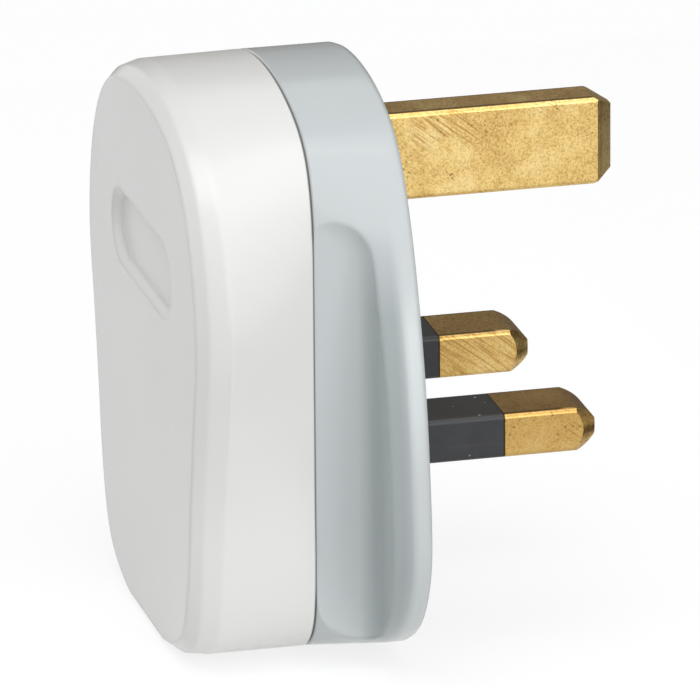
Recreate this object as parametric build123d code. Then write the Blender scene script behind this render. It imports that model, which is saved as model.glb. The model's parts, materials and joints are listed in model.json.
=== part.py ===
from build123d import *
import os

# Pins of the 13 A pattern; y = 0 is the engagement face, +Y the way in, +Z up to the earth pin
earth_rise = 22.23
pin_offset = 11.115
earth_wide = 4.0
earth_tall = 8.0
earth_long = 22.73
pole_wide = 6.35
pole_tall = 4.0
pole_long = 17.7
pin_edge = 0.45
earth_tip_side = 1.56
earth_tip_top = 1.96
pole_tip_roll = 2.4
pole_tip_half = 0.7
pole_tip_cone = 3.2
pole_cone_wide = 4.5
pole_cone_end = 2.33
sleeve_end = 9.25
sleeve_wall = 0.4
sleeve_seat = -2.5

# Shell levels along Y and its walls
flange_edge = 0.4
flange_back = -1.8
seam_y = -8.3
bevel_y = -17.0
shoulder_y = -18.6
front_y = -19.6
floor_y = -4.0
wall = 2.3
base_extra = 0.9
front_wall = 2.6
cavity_top = 27.9
cavity_round = 6.5
seam_groove = 0.2
bottom_z = -19.4
top_z = 31.1
seam_wide = 17.0
lip_thick = 1.0
lip_deep = 1.1

# Clearances
slip = 0.1
fit_gap = 0.05

# Fuse, its caps and clips
fuse_x = seam_wide - 7.0
fuse_y = -10.95
fuse_low = -3.4
fuse_long = 25.4
fuse_radius = 3.175
cap_long = 6.0
cap_wall = 0.35
tube_bore = 1.4
wire_radius = 0.2
clip_sheet = 0.55
clip_long = 5.0
clip_inset = 0.5
clip_foot = 2.7
clip_seat_y = -6.6
fuse_high = fuse_low + fuse_long
clip_high = fuse_high - clip_inset - clip_long

# Terminals, screws and cord grip
block_front = -11.5
neutral_x = 7.0 - seam_wide
neutral_half = 3.3
pole_head_half = 4.0
earth_head_half = 3.8
wire_bore = 1.6
clamp_radius = 1.6
clamp_head = 2.6
clamp_head_tall = 1.6
clamp_tip = block_front + 2.9
load_x = fuse_x - 4.4
load_half = 1.3
load_half_tall = 3.05
load_head_radius = 1.35
load_head_tall = 1.2
load_front = -11.2
load_z = clip_high - 3.95
load_bore_y = -7.2
load_screw_radius = 0.9
cover_screw_z = 8.0
cover_screw_radius = 1.85
cover_head_radius = 3.2
cover_head_tall = 2.0
washer_thick = 0.6
washer_y = -2.6
column_radius = 3.8
column_end = -9.6
boss_radius = 4.4
insert_radius = 2.9
insert_end = -15.6
grip_x = 8.6
grip_z = -11.0
grip_post_radius = 3.0
grip_seat_y = -10.6
grip_bar_thick = 2.8
grip_bar_wide = 5.0
grip_screw_radius = 1.5
inlet_radius = 3.8

# Right half of each outline, from the flat bottom round to the top centre
flange_half = [(6.0, bottom_z), (12.0, -18.6), (17.3, -16.8), (21.3, -14.1), (23.9, -10.6), (25.1, -4.5),
               (24.5, 1.0), (23.2, 8.1), (21.2, 14.8), (18.4, 21.4), (14.4, 27.0), (8.6, 30.0), (0, top_z)]
seam_half = [(6.0, bottom_z), (10.6, -18.8), (14.0, -17.5), (16.0, -15.4), (16.9, -12.0), (seam_wide, -4.5),
             (seam_wide, 1.0), (seam_wide, 8.1), (seam_wide, 14.8), (16.7, 21.4), (14.4, 27.0), (8.6, 30.0),
             (0, top_z)]
bevel_half = [(6.0, bottom_z), (10.6, -18.8), (14.2, -17.4), (16.4, -15.0), (17.8, -10.6), (18.9, -4.0),
              (20.3, 2.0), (21.6, 7.6), (22.3, 13.6), (20.2, 21.6), (15.2, 27.1), (8.8, 29.8), (0, 30.9)]
shoulder_half = [(5.9, -19.3), (10.3, -18.7), (13.7, -17.2), (15.8, -14.7), (17.2, -10.4), (18.2, -4.0),
                 (19.4, 2.0), (20.6, 7.5), (21.3, 13.2), (19.4, 21.1), (14.9, 26.6), (8.6, 29.4), (0, 30.4)]
front_half = [(5.6, -18.7), (9.7, -17.9), (12.9, -16.4), (14.9, -14.0), (16.3, -9.9), (17.3, -4.0),
              (18.3, 1.8), (19.4, 7.1), (20.1, 12.6), (18.4, 20.2), (14.2, 25.8), (8.2, 28.5), (0, 29.3)]

# Finger scoop seen from the side, from its arch down to the flange's back
scoop_line = [(-14.0, 23.4), (-3.7, 23.4), (-3.2, 7.0), (-2.9, -26.0)]
scoop_arch = 4.6
scoop_soft = 2.5
scoop_floor = 16.7


def mirrored(half):
    """The whole curve's points, from a half's flat bottom over the top to the other side."""
    return half + [(-x, z) for x, z in reversed(half[:-1])]


def distances(points):
    """Length along the chords from the first point to each point."""
    steps = [0.0]
    for start, end in zip(points, points[1:]):
        steps.append(steps[-1] + (end - start).length)
    return steps


def section(half, y, inset=0.0):
    """Closed outline of the shell at one level, drawn in by the inset on every side.

    All levels share the seam's parameters, so that a loft's rulings join like points.
    """
    wide = max(x for x, z in half)
    low, high = half[0][1], half[-1][1]
    middle = (low + high) / 2
    shrink_x = 1 - inset / wide
    shrink_z = 1 - inset / (high - middle)
    points = [Vector(x * shrink_x, y, middle + (z - middle) * shrink_z) for x, z in mirrored(half)]
    places = distances([Vector(x, 0, z) for x, z in mirrored(seam_half)])
    across = Vector((points[1] - points[0]).length / places[1], 0, 0)
    over = Edge.make_spline(points, tangents=[across, across], parameters=places, scale=False)
    under = Edge.make_line(points[-1], points[0])
    return Face(Wire([under, over]))


def skin(*levels):
    """Shell body through the given outline levels."""
    return loft([section(*level) for level in levels], ruled=True)


def cavity(inset, y0, y1):
    """Straight round-cornered hollow between two levels, as far inside the seam's outline as the inset."""
    deeper = inset - wall
    low = bottom_z + wall + deeper
    high = cavity_top - deeper
    mouth = Plane((0, min(y0, y1), (low + high) / 2), x_dir=(1, 0, 0), z_dir=(0, 1, 0))
    outline = RectangleRounded(2 * (seam_wide - inset), high - low, cavity_round - deeper)
    return extrude(mouth * outline, abs(y1 - y0))


def block(x0, x1, y0, y1, z0, z1):
    """Box between two corners."""
    size = Box(abs(x1 - x0), abs(y1 - y0), abs(z1 - z0))
    return Pos((x0 + x1) / 2, (y0 + y1) / 2, (z0 + z1) / 2) * size


def rod_y(x, z, y0, y1, radius):
    """Round bar along Y."""
    bar = Rot(90, 0, 0) * Cylinder(radius, abs(y1 - y0))
    return Pos(x, (y0 + y1) / 2, z) * bar


def rod_z(x, y, z0, z1, radius):
    """Round bar along Z."""
    return Pos(x, y, (z0 + z1) / 2) * Cylinder(radius, abs(z1 - z0))


def bar_y(x, z, y0, y1, wide, tall, edge):
    """Bar along Y of rounded rectangular section."""
    base_plane = Plane((x, min(y0, y1), z), x_dir=(1, 0, 0), z_dir=(0, 1, 0))
    return extrude(base_plane * RectangleRounded(wide, tall, edge), abs(y1 - y0))


def earth_tip():
    """Body whose meet with the long blade bevels its tip on all four sides."""
    wide, tall, far = earth_wide / 2, earth_tall / 2, floor_y - 1
    side_start = earth_long - earth_tip_side
    top_start = earth_long - earth_tip_top
    side = Polygon((-wide, far), (wide, far), (wide, side_start), (0.55, earth_long),
                   (-0.55, earth_long), (-wide, side_start), align=None)
    top = Polygon((far, -tall), (far, tall), (top_start, tall), (earth_long, 2.93),
                  (earth_long, -2.93), (top_start, -tall), align=None)
    in_plan = extrude(Plane.XY * side, 20, both=True)
    in_view = extrude(Plane.YZ * top, 20, both=True)
    return Pos(0, 0, earth_rise) * (in_plan & in_view)


def pole_tip(x):
    """Body whose meet with a short blade rolls its top and bottom over and cones its sides."""
    tall, far = pole_tall / 2, sleeve_end - 1
    start = pole_long - pole_tip_roll
    middle_y, middle_z = pole_long - 0.85, tall - 0.45
    over = ThreePointArc((0, start, tall), (0, middle_y, middle_z), (0, pole_long, pole_tip_half))
    under = ThreePointArc((0, pole_long, -pole_tip_half), (0, middle_y, -middle_z), (0, start, -tall))
    end = Line((0, pole_long, pole_tip_half), (0, pole_long, -pole_tip_half))
    back = Polyline((0, start, -tall), (0, far, -tall), (0, far, tall), (0, start, tall))
    rolled = extrude(Face(Wire([over, end, under, *back.edges()])), 20, dir=(1, 0, 0), both=True)
    half = Polygon((0, far), (pole_cone_wide, far), (pole_cone_wide, pole_long - pole_tip_cone),
                   (pole_cone_end, pole_long), (0, pole_long), align=None)
    cone = revolve(half, Axis.Y)
    return Pos(x, 0, 0) * (rolled & cone)


def slotted_screw(x, z, seat, tip, radius, head_radius, head_tall, slot_wide):
    """Cheese head screw along Y, its head's underside at the seat, pointing to the tip."""
    away = -1 if tip > seat else 1
    head = rod_y(x, z, seat, seat + away * head_tall, head_radius)
    head = chamfer(head.edges().filter_by(GeomType.CIRCLE).sort_by(Axis.Y)[0 if away < 0 else -1], 0.25)
    body = head + rod_y(x, z, seat, tip, radius)
    crown = seat + away * head_tall
    slot = block(x - head_radius - 1, x + head_radius + 1, crown + away, crown - away * head_tall * 0.5,
                 z - slot_wide / 2, z + slot_wide / 2)
    return body - slot


def earth_pin():
    """Long blade with its terminal block."""
    blade = bar_y(0, earth_rise, floor_y, earth_long, earth_wide, earth_tall, pin_edge)
    low, high = earth_rise - earth_head_half, earth_rise + earth_head_half
    head = block(-3.6, 3.6, floor_y, block_front, low, high)
    return terminal_bores((blade & earth_tip()) + head, 0, earth_rise, low, high - 2.1)


def terminal_bores(body, x, clamp_z, z0, z1):
    """Cuts a wire hole along Z and the clamp screw's hole into it."""
    body -= rod_z(x, -7.6, z0 - 1, z1 + 0.6, wire_bore)
    return body - rod_y(x, clamp_z, block_front - 1, -7.6, clamp_radius + slip)


def pole_blade(x, root):
    """Short blade with the neck that its sleeve covers."""
    blade = bar_y(x, 0, sleeve_end, pole_long, pole_wide, pole_tall, pin_edge)
    blade &= pole_tip(x)
    neck = bar_y(x, 0, root, sleeve_end, pole_wide - 2 * (sleeve_wall + fit_gap),
                 pole_tall - 2 * (sleeve_wall + fit_gap), 0.2)
    return blade + neck


def sleeve(x):
    """Insulating sleeve round a short blade's neck."""
    outer = bar_y(x, 0, sleeve_seat, sleeve_end, pole_wide, pole_tall, pin_edge)
    return outer - bar_y(x, 0, sleeve_seat - 1, sleeve_end + 1, pole_wide - 2 * sleeve_wall,
                         pole_tall - 2 * sleeve_wall, 0.2)


def neutral_pin():
    """Short blade whose block holds the neutral wire."""
    head = block(neutral_x - neutral_half, neutral_x + neutral_half, floor_y, block_front,
                 -pole_head_half, pole_head_half)
    return terminal_bores(pole_blade(-pin_offset, floor_y) + head, neutral_x, 0, -pole_head_half, 1.0)


def line_pin():
    """Short blade whose low head carries the lower fuse clip."""
    head = block(fuse_x - 3.0, fuse_x + 3.2, floor_y, clip_seat_y, fuse_low, pole_head_half)
    return pole_blade(pin_offset, floor_y) + head


def load_terminal():
    """Upper fuse seat with the terminal block beside the fuse."""
    low, high = load_z - load_half_tall, load_z + load_half_tall
    left, right = load_x + load_half, fuse_x + clip_foot + 0.1
    foot = block(left, right, floor_y, floor_y - 1.4, low, clip_high + clip_long)
    seat = block(left, right, floor_y, clip_seat_y, clip_high, clip_high + clip_long)
    head = block(load_x - load_half, left, floor_y, load_front, low, high)
    body = foot + seat + head
    body -= rod_z(load_x, load_bore_y, low - 1, load_z + 1.4, 0.95)
    return body - rod_y(load_x, load_z, load_front - 1, load_bore_y, load_screw_radius + slip)


def fuse_clip(z0):
    """Sprung clip open to the front, round one fuse cap."""
    inner = fuse_radius + fit_gap
    ring = rod_z(fuse_x, fuse_y, z0, z0 + clip_long, inner + clip_sheet)
    ring += block(fuse_x - 1.3, fuse_x + 1.3, clip_seat_y, fuse_y + 2.0, z0, z0 + clip_long)
    ring += block(fuse_x - clip_foot, fuse_x + clip_foot, clip_seat_y, clip_seat_y - clip_sheet,
                  z0, z0 + clip_long)
    ring -= rod_z(fuse_x, fuse_y, z0 - 1, z0 + clip_long + 1, inner)
    mouth = block(fuse_x - 2.1, fuse_x + 2.1, fuse_y - 6, fuse_y - 1, z0 - 1, z0 + clip_long + 1)
    body = ring - mouth
    for side in (-1, 1):
        flare = block(-0.3, 0.3, -0.8, 0.8, z0, z0 + clip_long)
        body += Pos(fuse_x + side * 2.75, fuse_y - 2.9, 0) * (Rot(0, 0, side * 35) * flare)
    return body


def fuse_cap(z_open, z_shut):
    """Metal end cap of the fuse."""
    up = 1 if z_shut > z_open else -1
    cup = rod_z(fuse_x, fuse_y, z_open, z_shut, fuse_radius)
    cup = chamfer(cup.edges().sort_by(Axis.Z)[-1 if up > 0 else 0], 0.3)
    return cup - rod_z(fuse_x, fuse_y, z_open - up, z_shut - up * cap_wall, fuse_radius - cap_wall)


def fuse_body():
    """Ceramic tube of the fuse."""
    low = fuse_low + cap_wall
    high = fuse_high - cap_wall
    tube = rod_z(fuse_x, fuse_y, low, high, fuse_radius - cap_wall - fit_gap)
    return tube - rod_z(fuse_x, fuse_y, low - 1, high + 1, tube_bore)


def fuse_wire():
    """Fusible wire down the middle of the tube."""
    return rod_z(fuse_x, fuse_y, fuse_low + cap_wall, fuse_high - cap_wall, wire_radius)


def grip_scoop():
    """Cutter of the line side's finger scoop: an arch over a flat floor, with soft corners."""
    arch = FilletPolyline(*[(scoop_floor, y, z) for y, z in scoop_line], radius=scoop_arch)
    (near, high), (far, low) = scoop_line[0], scoop_line[-1]
    rest = Polyline((scoop_floor, far, low), (scoop_floor, near, low), (scoop_floor, near, high))
    cutter = extrude(Face(Wire([*arch.edges(), *rest.edges()])), 12, dir=(1, 0, 0))
    floor = cutter.faces().sort_by(Axis.X)[0]
    soft = [e for e in floor.edges() if e.center().Z > -25 and e.center().Y > -13]
    return fillet(soft, scoop_soft)


def base_shell():
    """Rear shell: flange, scooped finger grip, floor, column, posts and partitions."""
    body = skin((flange_half, 0, 0.15), (flange_half, -flange_edge), (flange_half, flange_back),
                (seam_half, seam_y + seam_groove), (seam_half, seam_y, seam_groove))
    scoop = grip_scoop()
    body -= scoop
    body -= mirror(scoop, Plane.YZ)
    body -= cavity(wall + base_extra, floor_y, seam_y - 1)
    body -= cavity(wall, seam_y + lip_deep + slip, seam_y - 1)
    body += rod_y(0, cover_screw_z, floor_y, column_end, column_radius)
    for side in (-1, 1):
        body += rod_y(side * grip_x, grip_z, floor_y, grip_seat_y, grip_post_radius)
    body += block(neutral_x + 4.4, neutral_x + 5.4, floor_y, -9.0, -7.0, 15.0)
    body += block(load_x - 1.0, load_x, floor_y, -9.0, -7.0, load_z - 5.6)
    body += block(-4.5, 4.5, floor_y, -4.9, -12.4, -9.6)
    body -= rod_y(0, cover_screw_z, 1, washer_y - washer_thick, cover_head_radius + 0.4)
    body -= rod_y(0, cover_screw_z, 0, column_end - 1, cover_screw_radius + 0.3)
    for side in (-1, 1):
        body -= rod_y(side * grip_x, grip_z, -5.5, grip_seat_y - 1, grip_screw_radius + slip)
        x = side * pin_offset
        body -= bar_y(x, 0, sleeve_seat, 1, pole_wide + 2 * slip, pole_tall + 2 * slip, pin_edge)
        body -= bar_y(x, 0, floor_y - 0.5, 0, pole_wide - 2 * sleeve_wall, pole_tall - 2 * sleeve_wall, 0.2)
    body -= bar_y(0, earth_rise, floor_y - 0.5, 1, earth_wide + 2 * slip, earth_tall + 2 * slip, pin_edge)
    body -= bar_y(0, -8.5, -0.5, 1, 16, 6, 2.5)
    return body - rod_z(0, seam_y, bottom_z - 1, -13.8, inlet_radius)


def cover_shell():
    """Front shell: flared sides, wide bevel, oval recess, screw boss, ribs and locating lip."""
    body = skin((seam_half, seam_y, seam_groove), (seam_half, seam_y - seam_groove), (bevel_half, bevel_y),
                (shoulder_half, shoulder_y), (front_half, front_y))
    body -= cavity(wall, seam_y + 1, front_y + front_wall)
    lip = cavity(wall + slip, seam_y - 1, seam_y + lip_deep)
    lip += cavity(wall - 0.5, seam_y - 1.3, seam_y - slip)
    lip -= cavity(wall + lip_thick, seam_y - 2, seam_y + 2)
    lip -= block(fuse_x - 5.0, seam_wide - wall - slip, seam_y - 2, seam_y + 2,
                 clip_high - 0.9, fuse_high + 1.2)
    body += lip
    boss_root = front_y + front_wall - 0.1
    body += rod_y(0, cover_screw_z, column_end - 0.2, boss_root, boss_radius)
    for share in (0.33, 0.57):
        z = fuse_low + share * fuse_long
        body += block(fuse_x - 3.0, fuse_x + 3.0, fuse_y - fuse_radius - 0.1, boss_root, z, z + 1.4)
    body += block(-3.4, 3.4, block_front - 2.0, boss_root, earth_rise + 2.8, earth_rise + 4.2)
    body -= rod_y(0, cover_screw_z, column_end, insert_end, insert_radius + slip)
    body -= recess(0, 14.9, 22.4, 7.0, 0.8)
    return body - rod_z(0, seam_y, bottom_z - 1, -13.8, inlet_radius)


def recess(x, z, long, tall, deep):
    """Oval sunk in the front face, its rim softened."""
    face_plane = Plane((x, front_y, z), x_dir=(1, 0, 0), z_dir=(0, -1, 0))
    floor_face = face_plane.offset(-deep) * SlotOverall(long - 1.2, tall - 1.2)
    rim_face = face_plane.offset(0.01) * SlotOverall(long, tall)
    return loft([floor_face, rim_face], ruled=True)


def cord_grip_bar():
    """Clamp bar arched over the cord's way."""
    top = grip_seat_y - grip_bar_thick
    reach = grip_x + grip_post_radius
    bar = block(-reach, reach, grip_seat_y, top, grip_z - grip_bar_wide / 2, grip_z + grip_bar_wide / 2)
    bar = fillet(bar.edges().filter_by(Axis.Y), 1.5)
    bar -= rod_z(0, seam_y, grip_z - grip_bar_wide, grip_z + grip_bar_wide, inlet_radius + slip)
    for side in (-1, 1):
        bar -= rod_y(side * grip_x, grip_z, 0, top - 1, grip_screw_radius + slip)
    return bar


def cord_grip_screw(side):
    """Screw that pulls the clamp bar down on one side."""
    seat = grip_seat_y - grip_bar_thick
    return slotted_screw(side * grip_x, grip_z, seat, -5.8, grip_screw_radius, 2.6, 1.6, 0.8)


def cover_screw():
    """Long screw from the pin side into the insert of the cover."""
    return slotted_screw(0, cover_screw_z, washer_y, insert_end + 1, cover_screw_radius,
                         cover_head_radius, cover_head_tall, 1.0)


def cover_screw_washer():
    """Washer that keeps the cover screw in the base."""
    ring = rod_y(0, cover_screw_z, washer_y, washer_y - washer_thick, cover_head_radius + 0.2)
    return ring - rod_y(0, cover_screw_z, 0, washer_y - 2, cover_screw_radius + slip)


def cover_insert():
    """Threaded brass insert in the boss of the cover."""
    body = rod_y(0, cover_screw_z, column_end - 0.3, insert_end, insert_radius)
    return body - rod_y(0, cover_screw_z, 0, insert_end - 1, cover_screw_radius + slip)


def clamp_screw(x, z):
    """Screw that pinches a wire in the earth or the neutral pin's block."""
    return slotted_screw(x, z, block_front, clamp_tip, clamp_radius, clamp_head, clamp_head_tall, 0.8)


def load_screw():
    """Small screw of the terminal beside the fuse."""
    return slotted_screw(load_x, load_z, load_front, load_bore_y - 0.8, load_screw_radius,
                         load_head_radius, load_head_tall, 0.5)


nodes = {
    "base": base_shell(),
    "cover": cover_shell(),
    "earth_pin": earth_pin(),
    "earth_terminal_screw": clamp_screw(0, earth_rise),
    "neutral_pin": neutral_pin(),
    "neutral_sleeve": sleeve(-pin_offset),
    "neutral_terminal_screw": clamp_screw(neutral_x, 0),
    "line_pin": line_pin(),
    "line_sleeve": sleeve(pin_offset),
    "line_fuse_clip": fuse_clip(fuse_low + clip_inset),
    "load_terminal": load_terminal(),
    "load_terminal_screw": load_screw(),
    "load_fuse_clip": fuse_clip(clip_high),
    "fuse_body": fuse_body(),
    "fuse_cap_lower": fuse_cap(fuse_low + cap_long, fuse_low),
    "fuse_cap_upper": fuse_cap(fuse_high - cap_long, fuse_high),
    "fuse_wire": fuse_wire(),
    "cord_grip_bar": cord_grip_bar(),
    "cord_grip_screw_left": cord_grip_screw(-1),
    "cord_grip_screw_right": cord_grip_screw(1),
    "cover_screw": cover_screw(),
    "cover_screw_washer": cover_screw_washer(),
    "cover_insert": cover_insert(),
}

os.makedirs("parts", exist_ok=True)
for name, shape in nodes.items():
    export_step(shape, "parts/" + name + ".step")
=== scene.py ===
import json
import math

import bpy
from mathutils import Matrix, Vector


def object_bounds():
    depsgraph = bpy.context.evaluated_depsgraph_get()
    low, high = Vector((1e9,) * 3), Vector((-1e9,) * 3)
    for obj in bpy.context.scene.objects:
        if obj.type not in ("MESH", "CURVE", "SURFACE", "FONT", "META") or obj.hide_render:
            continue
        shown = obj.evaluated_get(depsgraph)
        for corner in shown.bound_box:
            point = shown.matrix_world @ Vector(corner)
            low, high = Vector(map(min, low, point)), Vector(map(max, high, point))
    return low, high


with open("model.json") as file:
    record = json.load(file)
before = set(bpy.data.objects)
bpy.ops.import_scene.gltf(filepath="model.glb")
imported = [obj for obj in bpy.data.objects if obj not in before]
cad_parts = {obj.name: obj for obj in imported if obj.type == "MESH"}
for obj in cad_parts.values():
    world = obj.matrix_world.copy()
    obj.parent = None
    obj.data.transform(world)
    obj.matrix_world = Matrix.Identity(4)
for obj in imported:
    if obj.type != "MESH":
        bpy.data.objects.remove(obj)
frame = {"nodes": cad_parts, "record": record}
cad_box = [list(corner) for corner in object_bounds()]
scene = bpy.context.scene
lowest = cad_box[0][2]

# Places on the plug, in metres. X points to the line pin, Y is the way into the socket, Z is up.
seam_level = -0.0083  # Y where the cover meets the base
fold_level = -0.0028  # Y of the fold between a finger scoop's floor and its wall
fold_top = 0.021  # Z where the fold ends, under the scoop's arch
fold_whole = 0.014  # Z below which the fold is at its darkest
earth_half = 0.002  # half the earth blade's thickness, across X
pole_half = 0.003175  # half the width of a short blade, across X
pole_middle = 0.011115  # X of a short blade's middle
pole_from = 0.0055  # X where the short blades' finish begins
pole_whole = 0.0075  # X from which it is complete
sleeve_end = 0.00925  # Y where the sleeves end
earth_tip = 0.0209  # Y where the earth blade's tip begins to slope
earth_tip_fade = 0.0002  # how far before that its edge line fades
pole_tip = 0.0148  # the same two for a short blade
pole_tip_fade = 0.0004
pitting_from = 0.011  # Y where the line blade's heavier pitting begins
pitting_whole = 0.017
fine_relief = 0.00002  # depth of the fine texture on metal and nylon
grain_relief = 0.00003  # depth of the grain of clay and fibre

# Painted shade and shadow at the seam, the scoops' fold, the blade edges and the sleeve joints; dirt,
# tarnish and wear
seam_painted_shade = (0.1, 0.09, 0.08)
fold_shadow = (0.2, 0.26, 0.26)
edge_painted_shade = (0.1, 0.06, 0.025)
pit_tarnish = (0.2, 0.11, 0.035)
sleeve_joint_painted_shadow = (0.01, 0.008, 0.005)
nylon_dark = (0.014, 0.015, 0.017)
nylon_chalky = (0.025, 0.026, 0.029)
scuff_grey = (0.055, 0.055, 0.06)
speck_white = (0.6, 0.6, 0.6)


# Shader building


class Shade:
    """One output of a node, with the arithmetic that a pattern needs."""

    def __init__(self, board, socket):
        self.board = board
        self.socket = socket

    def math(self, operation, *others):
        values = dict(enumerate((self, *others)))
        return self.board.node("ShaderNodeMath", {"operation": operation}, values)

    def __add__(self, other):
        return self.math("ADD", other)

    def __sub__(self, other):
        return self.math("SUBTRACT", other)

    def __mul__(self, other):
        return self.math("MULTIPLY", other)

    def __rsub__(self, other):
        return self.board.node("ShaderNodeMath", {"operation": "SUBTRACT"}, {0: other, 1: self})

    __radd__ = __add__
    __rmul__ = __mul__

    def step(self, low, high):
        """0 at low, 1 at high and a straight ramp between, whichever of the two is larger."""
        span = {1: low, 2: high, 3: 0.0, 4: 1.0}
        return self.board.node("ShaderNodeMapRange", {"clamp": True}, {0: self, **span})

    def beside(self, output):
        """Another output of the same node."""
        return Shade(self.board, self.socket.node.outputs[output])


class Board:
    """A node tree, whose new nodes all come from one method."""

    def __init__(self, tree):
        self.tree = tree

    def fill(self, node, values):
        """Gives the node's sockets their links, where a value is a Shade, or plain values."""
        for key, value in values.items():
            if isinstance(value, Shade):
                self.tree.links.new(value.socket, node.inputs[key])
            else:
                node.inputs[key].default_value = value

    def node(self, kind, settings, values, output=0):
        made = self.tree.nodes.new(kind)
        for key, value in settings.items():
            setattr(made, key, value)
        self.fill(made, values)
        return Shade(self, made.outputs[output])

    def ground_rays(self):
        """1 for camera, mirrored and passing rays, which see the white ground, 0 for the others."""
        seen = self.node("ShaderNodeLightPath", {}, {}, "Is Camera Ray")
        mirrored = seen.beside("Is Glossy Ray")
        passing = seen.beside("Is Transmission Ray")
        return seen.math("MAXIMUM", mirrored).math("MAXIMUM", passing)


class Paint(Board):
    """A material, filled by expressions."""

    def __init__(self, name):
        self.material = bpy.data.materials.new(name)
        self.material.use_nodes = True
        super().__init__(self.material.node_tree)
        self.shader = self.tree.nodes["Principled BSDF"]
        self.place = self.node("ShaderNodeTexCoord", {}, {}, "Object")

    def spread(self, scale, stretch=(1, 1, 1), shift=(0, 0, 0), turn=0.0):
        """Object coordinates times scale, stretched along the axes after a turn about X."""
        size = tuple(scale * s for s in stretch)
        place = self.place
        if turn:
            spin = {"Vector": place, "Rotation": (turn, 0.0, 0.0)}
            place = self.node("ShaderNodeMapping", {}, spin)
        values = {"Vector": place, "Scale": size, "Location": shift}
        return self.node("ShaderNodeMapping", {}, values)

    def noise(self, scale, detail=3.0, rough=0.5, stretch=(1, 1, 1), shift=(0, 0, 0), turn=0.0):
        """Cloudy pattern of about 0 to 1, with scale waves to the metre."""
        place = self.spread(scale, stretch, shift, turn)
        values = {"Vector": place, "Scale": 1.0, "Detail": detail, "Roughness": rough}
        return self.node("ShaderNodeTexNoise", {}, values)

    def cells(self, scale):
        """Distance to the nearest of scattered points, in cells, of which scale go to the metre."""
        return self.node("ShaderNodeTexVoronoi", {}, {"Vector": self.spread(scale), "Scale": 1.0})

    def mix(self, share, low, high):
        """Colour low where share is 0, high where it is 1."""
        low = low if isinstance(low, Shade) else (*low, 1.0)
        high = high if isinstance(high, Shade) else (*high, 1.0)
        return self.node("ShaderNodeMix", {"data_type": "RGBA"}, {0: share, 6: low, 7: high}, 2)

    def across(self, axis):
        """Object coordinate along one axis, in metres."""
        return self.node("ShaderNodeSeparateXYZ", {}, {0: self.place}, "XYZ".index(axis))

    def soft_edge(self, radius):
        """Surface normal that rounds the edges over by the radius."""
        return self.node("ShaderNodeBevel", {"samples": 6}, {"Radius": radius})

    def bump(self, height, depth, strength=1.0, under=None):
        """Surface normal raised by height times depth metres, on top of the normal under it."""
        values = {"Height": height, "Distance": depth, "Strength": strength}
        if under is not None:
            values["Normal"] = under
        return self.node("ShaderNodeBump", {}, values)

    def finish(self, **sockets):
        """Fills the surface shader's sockets, whose names have _ for a space."""
        values = {}
        for name, value in sockets.items():
            colour = isinstance(value, tuple)
            values[name.replace("_", " ")] = (*value, 1.0) if colour else value
        self.fill(self.shader, values)
        return self.material


# Finishes


def moulded_plastic(name, colour, shade, gloss, softness, shadow):
    """Glossy moulded plastic, with painted shade in the seam and, by shadow, painted shadow in the
    finger scoops' fold.

    Edges are rounded over by softness metres, except beside the seam, which stays sharp.
    """
    seam_half, seam_core, seam_depth = 0.00013, 0.00006, 0.8
    sharp_till, soft_from = 0.0002, 0.0015
    fold_half, fold_core = 0.0017, 0.0005
    handling_rough = 0.06
    sink_depth, grain_depth = 0.00005, 0.000004
    paint = Paint(name)
    off_seam = (paint.across("Y") - seam_level).math("ABSOLUTE")
    off_fold = (paint.across("Y") - fold_level).math("ABSOLUTE")
    in_seam = off_seam.step(seam_half, seam_core)
    in_fold = off_fold.step(fold_half, fold_core) * paint.across("Z").step(fold_top, fold_whole)
    cloud = paint.noise(scale=35, detail=2.0).step(0.3, 0.7)
    handling = paint.noise(scale=70, detail=4.0, rough=0.6).step(0.45, 0.75)
    tint = paint.mix(cloud, colour, shade)
    # Painted shadow in the finger scoops' fold, as strong as the shadow share
    tint = paint.mix(in_fold * shadow, tint, fold_shadow)
    # Painted shade: a dark line along the seam between cover and base
    tint = paint.mix(in_seam * seam_depth, tint, seam_painted_shade)
    round_over = paint.soft_edge(off_seam.step(sharp_till, soft_from) * softness)
    sink = paint.bump(paint.noise(scale=30, detail=1.0), sink_depth, 0.3, round_over)
    normal = paint.bump(paint.noise(scale=1400, detail=2.0), grain_depth, 0.5, sink)
    rough = handling * handling_rough + gloss
    return paint.finish(Base_Color=tint, Roughness=rough, Normal=normal, Specular_IOR_Level=0.5)


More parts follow.
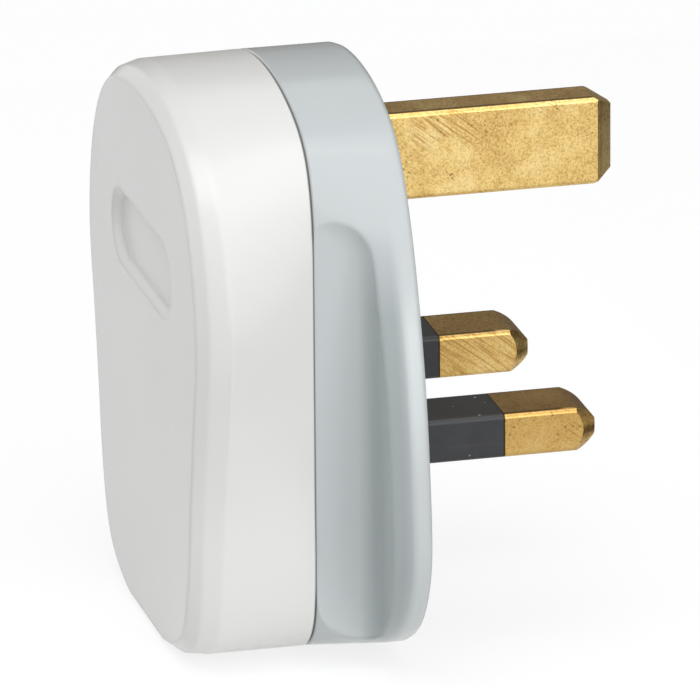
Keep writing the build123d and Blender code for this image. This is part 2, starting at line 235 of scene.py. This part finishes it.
def pin_metal(name, colour, dull, pale):
    """Tumbled brass: patches, fine speckle, pits, slanting rub marks and painted shade lines at the
    edges.
    """
    rub_slant = -0.9
    line_in, line_full, line_fade, line_out = 0.0002, 0.00027, 0.00048, 0.00058
    joint_width, joint_core = 0.00018, 0.0001
    speckle_share, patch_share = 0.6, 0.4
    line_dullness, neutral_dullness = 0.55, 0.25
    pitting_share, rub_share = 0.3, 0.8
    paint = Paint(name)

    # Each is 1 on its own blade, and pole is 1 on both short ones
    x, y = paint.across("X"), paint.across("Y")
    neutral = x.step(-pole_from, -pole_whole)
    line = x.step(pole_from, pole_whole)
    pole = neutral + line
    earth = 1 - pole

    speckle = paint.noise(scale=5200, detail=2.0, rough=0.6)
    patch = paint.noise(scale=200, detail=3.0, rough=0.6)
    worn_spots = paint.noise(scale=140, detail=2.0, shift=(0.2, 0.7, 0.4)).step(0.52, 0.62)
    worn = worn_spots.math("MAXIMUM", neutral)
    rub = paint.noise(4800, 3.0, 0.6, (1.0, 1.0, 0.05), (0.3, 0.1, 0.2), rub_slant)
    line_pitting = line * y.step(pitting_from, pitting_whole) * pitting_share
    strewn = paint.noise(scale=330, detail=2.0, shift=(0.1, 0.2, 0.9)) + line_pitting
    pits = paint.cells(1900).step(0.3, 0.12) * strewn.step(0.55, 0.66)

    # Distance in from a blade's sides, for the painted shade lines that run beside its long edges
    side = x.math("ABSOLUTE")
    pole_inset = pole_half - (side - pole_middle).math("ABSOLUTE")
    inset = earth * (earth_half - side) + pole * pole_inset
    before_earth_tip = y.step(earth_tip, earth_tip - earth_tip_fade)
    before_pole_tip = y.step(pole_tip, pole_tip - pole_tip_fade)
    before_tip = earth * before_earth_tip + pole * before_pole_tip
    edge = inset.step(line_in, line_full) * inset.step(line_out, line_fade)
    # Painted shadow where a short blade meets the end of its sleeve
    joint = pole * y.step(sleeve_end + joint_width, sleeve_end + joint_core)

    bright = speckle.step(0.32, 0.58) * speckle_share + patch.step(0.3, 0.62) * patch_share
    tint = paint.mix(bright, dull, colour)
    tint = paint.mix(patch.step(0.52, 0.75) * 0.35, tint, pale)
    tint = paint.mix(rub.step(0.53, 0.42) * worn * rub_share, tint, dull)
    tint = paint.mix(line * line_dullness + neutral * neutral_dullness, tint, dull)
    tint = paint.mix(pits * 0.8, tint, pit_tarnish)
    # Painted shade on the blades' rounded long edges, which narrows their highlight and fades before
    # the tips
    tint = paint.mix(edge * (before_tip * 0.75 + 0.2), tint, edge_painted_shade)
    tint = paint.mix(joint * 0.95, tint, sleeve_joint_painted_shadow)
    rough = speckle * 0.14 + patch * 0.1 + 0.2
    low = paint.bump(speckle + rub * worn, fine_relief, 0.7)
    normal = paint.bump(1.0 - pits, fine_relief, 0.4, low)
    return paint.finish(Base_Color=tint, Roughness=rough, Metallic=1.0, Normal=normal)


def plain_metal(name, colour, dull, gloss):
    """Turned or stamped metal with faint drawing lines along Y and a little tarnish."""
    paint = Paint(name)
    tarnish = paint.noise(scale=300, detail=4.0, rough=0.6)
    lines = paint.noise(scale=1800, detail=2.0, stretch=(1.0, 0.08, 1.0))
    tint = paint.mix(tarnish.step(0.35, 0.75), colour, dull)
    rough = tarnish * 0.15 + gloss
    normal = paint.bump(lines, fine_relief, 0.4)
    return paint.finish(Base_Color=tint, Roughness=rough, Metallic=1.0, Normal=normal)


def sleeve_plastic(name):
    """Dark nylon sleeve: slightly chalky, with pale specks, and scuffs along Y from the contacts."""
    paint = Paint(name)
    chalk = paint.noise(scale=500, detail=4.0, rough=0.6)
    scuff = paint.noise(scale=1500, rough=0.6, stretch=(1.0, 0.04, 1.0)).step(0.58, 0.8)
    specks = paint.cells(600).step(0.09, 0.05)
    tint = paint.mix(chalk.step(0.3, 0.8), nylon_dark, nylon_chalky)
    tint = paint.mix(scuff * 0.4, tint, scuff_grey)
    tint = paint.mix(specks * 0.7, tint, speck_white)
    rough = chalk * 0.2 + 0.3
    normal = paint.bump(chalk + scuff, fine_relief, 0.5)
    return paint.finish(Base_Color=tint, Roughness=rough, Normal=normal)


def dull_solid(name, colour, shade, gloss, scale):
    """Plain stuff such as fired clay or pressed fibre: mottled, with a fine grain."""
    paint = Paint(name)
    grain = paint.noise(scale=scale, detail=5.0, rough=0.65)
    tint = paint.mix(grain.step(0.35, 0.7), colour, shade)
    rough = grain * 0.2 + gloss
    normal = paint.bump(grain, grain_relief, 0.5)
    return paint.finish(Base_Color=tint, Roughness=rough, Normal=normal)


finishes = {
    "shell_white": moulded_plastic(
        "cover white",
        colour=(0.85, 0.843, 0.818),
        shade=(0.825, 0.818, 0.793),
        gloss=0.22,
        softness=0.0007,
        shadow=0.0,
    ),
    "shell_grey": moulded_plastic(
        "base grey",
        colour=(0.595, 0.63, 0.634),
        shade=(0.572, 0.606, 0.61),
        gloss=0.15,
        softness=0.0008,
        shadow=0.42,
    ),
    "pin_brass": pin_metal(
        "blade brass",
        colour=(0.8, 0.585, 0.225),
        dull=(0.4, 0.225, 0.06),
        pale=(0.8, 0.69, 0.4),
    ),
    "terminal_brass": plain_metal("terminal brass", (0.66, 0.47, 0.2), (0.45, 0.3, 0.12), 0.28),
    "sleeve_dark": sleeve_plastic("sleeve nylon"),
    "screw_steel": plain_metal("screw plating", (0.6, 0.57, 0.5), (0.4, 0.38, 0.33), 0.25),
    "clip_copper": plain_metal("clip copper", (0.62, 0.33, 0.18), (0.4, 0.2, 0.1), 0.3),
    "fuse_ceramic": dull_solid("fuse clay", (0.76, 0.73, 0.66), (0.68, 0.65, 0.58), 0.35, 900),
    "fuse_metal": plain_metal("fuse plating", (0.68, 0.67, 0.64), (0.5, 0.49, 0.46), 0.2),
    "grip_fibre": dull_solid("grip fibre", (0.2, 0.06, 0.035), (0.13, 0.04, 0.025), 0.5, 1200),
    "washer_fibre": dull_solid("washer fibre", (0.08, 0.08, 0.085), (0.05, 0.05, 0.055), 0.5, 1200),
}

slot_of = {part["node"]: part["material_slot"] for part in frame["record"]["subparts"]}
for node, solid in frame["nodes"].items():
    for slot in solid.material_slots:
        slot.material = finishes[slot_of[node]]


# Camera

camera_azimuth = 75.82
camera_elevation = 18.57
camera_roll = -0.44
camera_distance = 0.9417
camera_lens = 550.0
camera_sensor = 36.0
aim_right = -0.00088
aim_down = -0.00393


def looking(azimuth, elevation, roll):
    """Right, down and forward of a camera: azimuth 0 looks along +Y, 90 along -X."""
    a, e, r = (math.radians(angle) for angle in (azimuth, elevation, roll))
    forward = Vector((-math.sin(a) * math.cos(e), math.cos(a) * math.cos(e), -math.sin(e)))
    right = Vector((math.cos(a), math.sin(a), 0.0))
    down = forward.cross(right)
    turned_right = right * math.cos(r) - down * math.sin(r)
    turned_down = right * math.sin(r) + down * math.cos(r)
    return turned_right, turned_down, forward


right, down, forward = looking(camera_azimuth, camera_elevation, camera_roll)
spot = right * aim_right + down * aim_down - forward * camera_distance
facing = Matrix((right, -down, -forward)).transposed().to_4x4()
camera = bpy.data.objects.new("camera", bpy.data.cameras.new("camera"))
camera.matrix_world = Matrix.Translation(spot) @ facing
camera.data.lens = camera_lens
camera.data.sensor_width = camera_sensor
camera.data.clip_start = 0.05
camera.data.clip_end = 20.0
scene.collection.objects.link(camera)
scene.camera = camera


# Floor, lamps and cards

glow_share = 0.7  # how much of the floor's look is its own glow; the rest takes the shadow
floor_glow = 1.15
floor_reach = 3.0


def sheet_mesh(name, corners):
    """Flat four-cornered sheet, its corners given in the order that goes round it."""
    mesh = bpy.data.meshes.new(name)
    mesh.from_pydata(corners, [], [(0, 1, 2, 3)])
    made = bpy.data.objects.new(name, mesh)
    scene.collection.objects.link(made)
    return made


def floor_paint():
    """Pale floor that shows as the photograph's white ground and keeps a faint shadow of the plug."""
    paint = Paint("studio floor")
    cloud = paint.noise(scale=8, detail=2.0)
    paint.finish(Base_Color=paint.mix(cloud, (0.78, 0.78, 0.78), (0.82, 0.82, 0.82)), Roughness=0.8)
    lit = Shade(paint, paint.shader.outputs[0])
    glow_values = {"Color": (1, 1, 1, 1), "Strength": floor_glow}
    glow = paint.node("ShaderNodeEmission", {}, glow_values)
    seen = paint.ground_rays() * glow_share
    both = paint.node("ShaderNodeMixShader", {}, {0: seen, 1: lit, 2: glow})
    paint.fill(paint.tree.nodes["Material Output"], {"Surface": both})
    return paint.material


corner_signs = ((-1, -1), (1, -1), (1, 1), (-1, 1))
floor_corners = [(x * floor_reach, y * floor_reach, lowest) for x, y in corner_signs]
floor = sheet_mesh("floor", floor_corners)
floor.data.materials.append(floor_paint())


def lamp(name, azimuth, elevation, distance, size, power):
    """Soft lamp at the angles, counted as the camera's, and the distance, facing the origin.

    Its size is in metres and its power in watts.
    """
    _, _, inward = looking(azimuth, elevation, 0.0)
    data = bpy.data.lights.new(name, "AREA")
    data.shape = "RECTANGLE"
    data.size, data.size_y = size
    data.energy = power
    made = bpy.data.objects.new(name, data)
    made.location = -inward * distance
    made.rotation_euler = inward.to_track_quat("-Z", "Y").to_euler()
    scene.collection.objects.link(made)


lamp("key", azimuth=104, elevation=52, distance=0.9, size=(1.1, 1.5), power=4.5)
lamp("side", azimuth=112, elevation=8, distance=1.0, size=(0.7, 0.4), power=2.5)
lamp("top", azimuth=35, elevation=72, distance=0.9, size=(0.7, 0.7), power=3.2)
lamp("front_fill", azimuth=0, elevation=10, distance=1.1, size=(0.9, 0.9), power=0.5)

card_far = -0.16  # X past the plug's far side
card_near = 0.03  # X just past its near side
card_back = 0.13  # Y beyond the pins' tips
card_front = -0.02  # Y beside the cover
card_height = 0.16
tip_card_near = 0.06  # X of the low card's near end
tip_card_front = 0.045  # Y of its long sides
tip_card_back = 0.1
tip_card_lift = 0.001
card_mottle = 1.25
card_brown = (0.17, 0.15, 0.13)
card_black = (0.03, 0.028, 0.025)


def card(name, corners, tone):
    """Dark card that stands beside the set and shows only as a reflection."""
    made = sheet_mesh(name, corners)
    shade = tuple(part * card_mottle for part in tone)
    made.data.materials.append(dull_solid(name + " paint", tone, shade, gloss=0.6, scale=40))
    made.visible_camera = False
    made.visible_diffuse = False
    made.visible_shadow = False


def upright(from_x, from_y, to_x, to_y):
    """Corners of an upright sheet that stands on the floor between two points."""
    foot = [(from_x, from_y, lowest), (to_x, to_y, lowest)]
    top = lowest + card_height
    return foot + [(to_x, to_y, top), (from_x, from_y, top)]


def lying(from_x, from_y, to_x, to_y):
    """Corners of a sheet that lies just above the floor, between two opposite corners."""
    level = lowest + tip_card_lift
    return [(x, y, level) for x, y in ((from_x, from_y), (to_x, from_y), (to_x, to_y), (from_x, to_y))]


card("far side card", upright(card_far, card_front, card_far, card_back), card_brown)
card("pin side card", upright(card_far, card_back, card_near, card_back), card_black)
card("pin tip card", lying(card_far, tip_card_front, tip_card_near, tip_card_back), card_black)


# World: a faint cool light on the plug, and white where the ground is seen

world = bpy.data.worlds.new("studio")
scene.world = world
world.use_nodes = True
cool_strength = 0.24
air = Board(world.node_tree)
background = air.tree.nodes["Background"]
air.fill(background, {"Color": (0.93, 0.96, 1.0, 1), "Strength": cool_strength})
cool = Shade(air, background.outputs[0])
white = air.node("ShaderNodeBackground", {}, {"Color": (1, 1, 1, 1), "Strength": 1.0})
shown = air.node("ShaderNodeMixShader", {}, {0: air.ground_rays(), 1: cool, 2: white})
air.fill(air.tree.nodes["World Output"], {"Surface": shown})

scene.view_settings.view_transform = "Standard"
